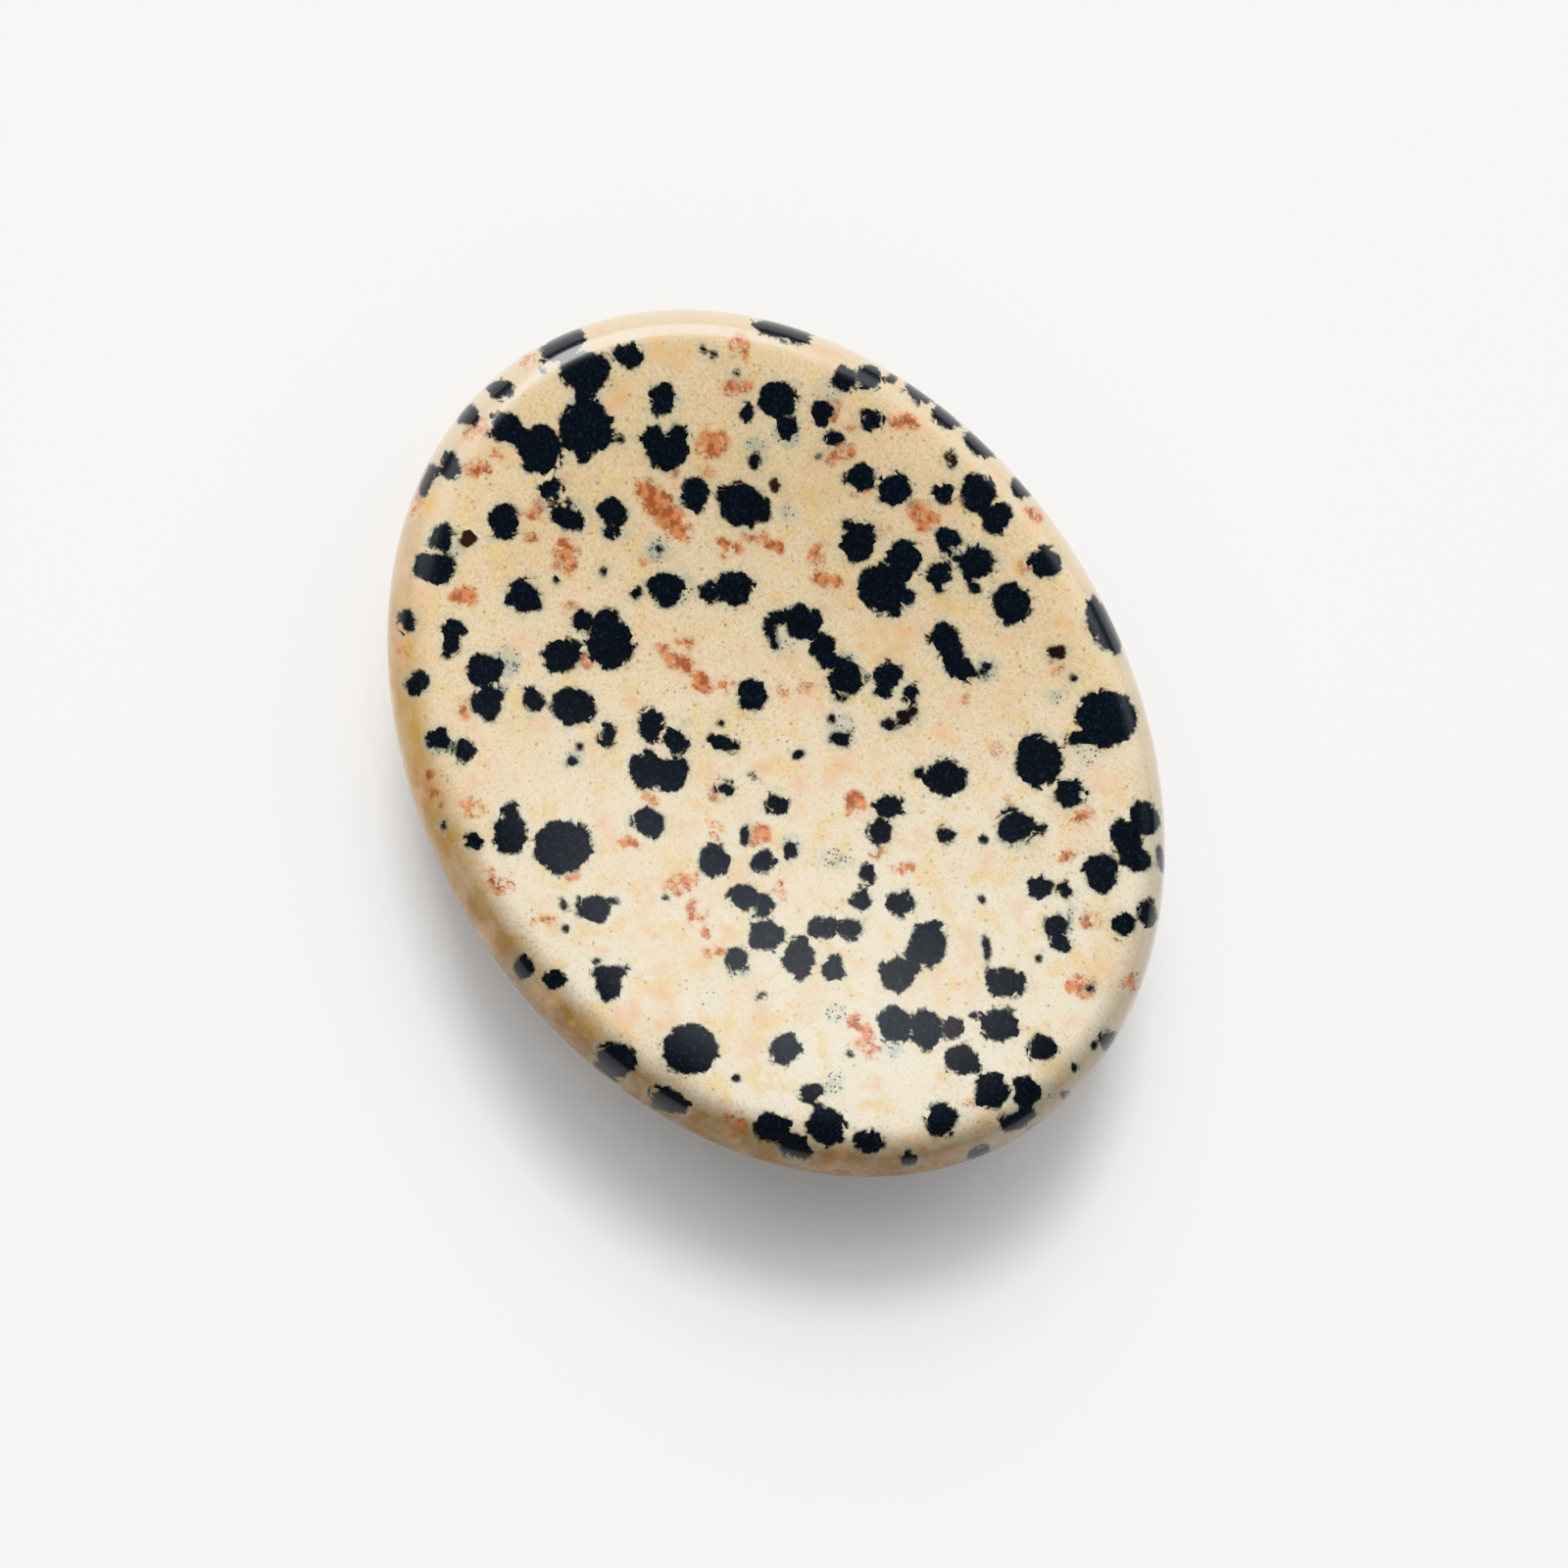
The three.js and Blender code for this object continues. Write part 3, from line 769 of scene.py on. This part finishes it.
def jasper_tints(tree, place, ground):
    """Ochre and peach clouds and grainy rust patches, most of whose places the attributes give."""
    lump = add(tree, "ShaderNodeTexNoise", {"Vector": place, "Scale": per_mm(0.55), "Detail": 2.0})
    grain = add(tree, "ShaderNodeTexNoise", {
        "Vector": place, "Scale": per_mm(GRAIN_MM), "Detail": 3.0, "Roughness": 0.7})
    both = add(tree, "ShaderNodeMath", {0: lump, 1: grain}, operation="ADD")
    centred = add(tree, "ShaderNodeMath", {0: both, 1: 1.0}, operation="SUBTRACT")
    mottle = add(tree, "ShaderNodeTexNoise", {"Vector": place, "Scale": per_mm(0.45), "Detail": 2.0})
    rust = laid_over(tree, linear(APRICOT), linear(BRICK), mottle, 0.4, 0.6)
    cloud = add(tree, "ShaderNodeTexNoise", {"Vector": place, "Scale": per_mm(1.5), "Detail": 3.0})
    tinted = laid_over(tree, ground, linear(PEACH), cloud, 0.55, 0.72, 0.4)
    for name, colour, graininess, start, full, most in (
            ("ochre", linear(OCHRE), 1.3, 0.1, 1.1, 0.7),
            ("peach", linear(PEACH), 0.8, 0.1, 0.9, 0.8),
            ("rust", rust, 2.0, 0.05, 0.68, 0.97)):
        given = add(tree, "ShaderNodeAttribute", attribute_name=name).outputs["Fac"]
        shaken = add(tree, "ShaderNodeMath", {0: centred, 1: graininess, 2: given},
                     operation="MULTIPLY_ADD")
        present = add(tree, "ShaderNodeMapRange", {
            "Value": given, "From Min": 0.02, "From Max": 0.3}, interpolation_type="SMOOTHSTEP")
        share = add(tree, "ShaderNodeMapRange", {
            "Value": shaken, "From Min": start, "From Max": full, "To Max": most},
            interpolation_type="SMOOTHSTEP")
        kept = add(tree, "ShaderNodeMath", {0: share, 1: present}, operation="MULTIPLY")
        tinted = add(tree, "ShaderNodeMix", {0: kept, 6: tinted, 7: colour}, data_type="RGBA").outputs[2]
    return tinted


def ragged_edge(tree, place):
    """The distance to the nearest black spot's edge, in millimetres, broken up by lumps, blocky
    crystals and teeth. Small spots are broken up less."""
    given = add(tree, "ShaderNodeAttribute", attribute_name="black_distance_mm").outputs["Fac"]
    size = add(tree, "ShaderNodeAttribute", attribute_name="black_breadth_mm").outputs["Fac"]
    lumps = add(tree, "ShaderNodeTexNoise", {"Vector": place, "Scale": per_mm(0.7), "Detail": 1.0})
    blocks = add(tree, "ShaderNodeTexVoronoi", {"Vector": place, "Scale": per_mm(0.5)})
    block = add(tree, "ShaderNodeSeparateColor", {"Color": blocks.outputs["Color"]})
    crystals = add(tree, "ShaderNodeTexVoronoi", {"Vector": place, "Scale": per_mm(0.17)})
    tooth = add(tree, "ShaderNodeSeparateColor", {"Color": crystals.outputs["Color"]})
    fray = add(tree, "ShaderNodeTexNoise", {"Vector": place, "Scale": per_mm(0.12), "Detail": 2.0})
    shake = -SPOT_SPREAD_MM
    for texture, breadth in ((lumps, 0.38), (block, 0.25), (tooth, 0.12), (fray, 0.08)):
        centred = add(tree, "ShaderNodeMath", {0: texture, 1: 0.5}, operation="SUBTRACT")
        shake = add(tree, "ShaderNodeMath", {0: centred, 1: breadth, 2: shake}, operation="MULTIPLY_ADD")
    amount = add(tree, "ShaderNodeMapRange", {
        "Value": size, "From Min": 0.1, "From Max": 0.7, "To Min": 0.3, "To Max": 1.0})
    return add(tree, "ShaderNodeMath", {0: shake, 1: amount, 2: given}, operation="MULTIPLY_ADD")


def jasper_haze(tree, place, ground, edge):
    """Grey-green haze: a thin ring round every black spot, and wider speckled clouds round some."""
    given = add(tree, "ShaderNodeAttribute", attribute_name="haze").outputs["Fac"]
    patchy = add(tree, "ShaderNodeTexNoise", {"Vector": place, "Scale": per_mm(0.5), "Detail": 3.0})
    clumped = add(tree, "ShaderNodeMapRange", {
        "Value": patchy, "From Min": 0.3, "From Max": 0.6, "To Max": 0.9})
    ring = add(tree, "ShaderNodeMapRange", {
        "Value": edge, "From Min": RING_MM, "From Max": 0.0, "To Max": 0.6})
    broken_ring = add(tree, "ShaderNodeMath", {0: ring, 1: clumped}, operation="MULTIPLY")
    ringed = add(tree, "ShaderNodeMix", {0: broken_ring, 6: ground, 7: linear(RING_GREY)},
                 data_type="RGBA").outputs[2]
    cloud = add(tree, "ShaderNodeMath", {0: given, 1: clumped}, operation="MULTIPLY")
    hazed = add(tree, "ShaderNodeMix", {0: cloud, 6: ringed, 7: linear(HAZE_GREEN)},
                data_type="RGBA").outputs[2]
    cells = add(tree, "ShaderNodeTexVoronoi", {"Vector": place, "Scale": per_mm(0.15)}).outputs
    chosen = add(tree, "ShaderNodeSeparateColor", {"Color": cells["Color"]}).outputs["Green"]
    needed = add(tree, "ShaderNodeMapRange", {
        "Value": given, "From Min": 0.25, "From Max": 1.0, "To Min": 1.0, "To Max": 0.45})
    picked = add(tree, "ShaderNodeMath", {0: chosen, 1: needed}, operation="GREATER_THAN")
    small = add(tree, "ShaderNodeMapRange", {
        "Value": cells["Distance"], "From Min": 0.6, "From Max": 0.3, "To Max": 0.8})
    dots = add(tree, "ShaderNodeMath", {0: picked, 1: small}, operation="MULTIPLY")
    return add(tree, "ShaderNodeMix", {0: dots, 6: hazed, 7: linear(HAZE_DOT)},
               data_type="RGBA").outputs[2]


def black_spots(tree, place, ground, edge):
    """Black spots of fine dark crystals, with faint slate flecks inside."""
    flecks = add(tree, "ShaderNodeTexNoise", {
        "Vector": place, "Scale": per_mm(0.18), "Detail": 3.0, "Roughness": 0.7})
    black = laid_over(tree, linear(INK), linear(SLATE), flecks, 0.5, 0.72)
    brown = add(tree, "ShaderNodeAttribute", attribute_name="brown").outputs["Fac"]
    spot = add(tree, "ShaderNodeMix", {0: brown, 6: black, 7: linear(SPOT_BROWN)},
               data_type="RGBA").outputs[2]
    return laid_over(tree, ground, spot, edge, EDGE_BEGINS_MM, EDGE_BLACK_MM)


def matte_floor():
    """Plain white board, matte, which gives the eye a pale even ground with a soft shadow."""
    material = bpy.data.materials.new("matte_white_board")
    material.use_nodes = True
    tree = material.node_tree
    tree.nodes.clear()
    board = add(tree, "ShaderNodeBsdfPrincipled", {
        "Base Color": linear(FLOOR_WHITE), "Roughness": 0.9, "IOR": 1.45})
    add(tree, "ShaderNodeOutputMaterial", {"Surface": board})
    return material


def make_floor(material):
    """A pale floor at the level of the stone's flat spot."""
    side = FLOOR_HALF_SIDE
    mesh = bpy.data.meshes.new("floor")
    corners = [(-side, -side, 0), (side, -side, 0), (side, side, 0), (-side, side, 0)]
    mesh.from_pydata(corners, [], [(0, 1, 2, 3)])
    mesh.materials.append(material)
    floor = bpy.data.objects.new("floor", mesh)
    bpy.context.scene.collection.objects.link(floor)


def photo_direction(off_zenith, towards):
    """A direction off the upright by one angle, towards an angle in the photo from its right to its up."""
    x, y = LONG_WAY_IN_PHOTO
    right = Vector((x, y, 0)).normalized()
    up = Vector((-y, x, 0)).normalized()
    aside = math.cos(towards) * right + math.sin(towards) * up
    return math.sin(off_zenith) * aside + math.cos(off_zenith) * Vector((0, 0, 1))


def make_window():
    """A window-like softbox beyond the photo's top, level across the photo."""
    away = photo_direction(WINDOW_OFF_ZENITH, WINDOW_TOWARDS)
    data = bpy.data.lights.new("window_softbox", "AREA")
    data.shape = "RECTANGLE"
    data.size = WINDOW_WIDTH
    data.size_y = WINDOW_DEPTH
    data.energy = WINDOW_RADIANCE * math.pi * WINDOW_WIDTH * WINDOW_DEPTH
    data.color = WINDOW_COLOUR
    level = Vector((0, 0, 1)).cross(away).normalized()
    axes = Matrix((level, away.cross(level), away)).transposed().to_4x4()
    window = bpy.data.objects.new("window_softbox", data)
    window.matrix_world = Matrix.Translation(away * WINDOW_DISTANCE) @ axes
    bpy.context.scene.collection.objects.link(window)


def make_room():
    """A pale room round the stone: dim overhead, brighter on the window's side and darker near
    the level."""
    world = bpy.data.worlds.new("pale_room")
    world.use_nodes = True
    tree = world.node_tree
    tree.nodes.clear()
    looking = add(tree, "ShaderNodeTexCoord").outputs["Generated"]
    dim_middle = tuple(photo_direction(DIM_OFF_ZENITH, DIM_TOWARDS))
    near_dim = add(tree, "ShaderNodeVectorMath", {0: looking, 1: dim_middle}, operation="DOT_PRODUCT")
    off_dim = add(tree, "ShaderNodeMapRange", {
        "Value": near_dim.outputs["Value"], "From Min": math.cos(DIM_INSIDE),
        "From Max": math.cos(BRIGHT_OUTSIDE)}, interpolation_type="SMOOTHSTEP")
    window_side = tuple(photo_direction(math.radians(90), BRIGHT_TOWARDS))
    aside = add(tree, "ShaderNodeVectorMath", {0: looking, 1: window_side}, operation="DOT_PRODUCT")
    wall = add(tree, "ShaderNodeMapRange", {
        "Value": aside.outputs["Value"], "From Max": 0.5,
        "To Min": ROOM_FAR_SIDE, "To Max": ROOM_WINDOW_SIDE}, interpolation_type="SMOOTHSTEP")
    height = add(tree, "ShaderNodeSeparateXYZ", {0: looking}).outputs["Z"]
    lit = add(tree, "ShaderNodeMapRange", {
        "Value": height, "From Min": math.cos(DARK_BELOW), "From Max": math.cos(LIT_ABOVE),
        "To Min": LEFT_NEAR_LEVEL}, interpolation_type="SMOOTHSTEP")
    lit_wall = add(tree, "ShaderNodeMath", {0: wall, 1: lit}, operation="MULTIPLY")
    bright = add(tree, "ShaderNodeMath", {0: off_dim, 1: lit_wall, 2: ROOM_OVERHEAD},
                 operation="MULTIPLY_ADD")
    room = add(tree, "ShaderNodeBackground", {"Color": ROOM_COLOUR, "Strength": bright})
    add(tree, "ShaderNodeOutputWorld", {"Surface": room})
    bpy.context.scene.world = world


def build():
    make_camera()
    palm_stone = make_stone(polished_jasper())
    mark_stone(palm_stone)
    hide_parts("stone")
    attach(palm_stone, "root")
    make_floor(matte_floor())
    make_window()
    make_room()
    bpy.context.scene.view_settings.view_transform = "Khronos PBR Neutral"


build()
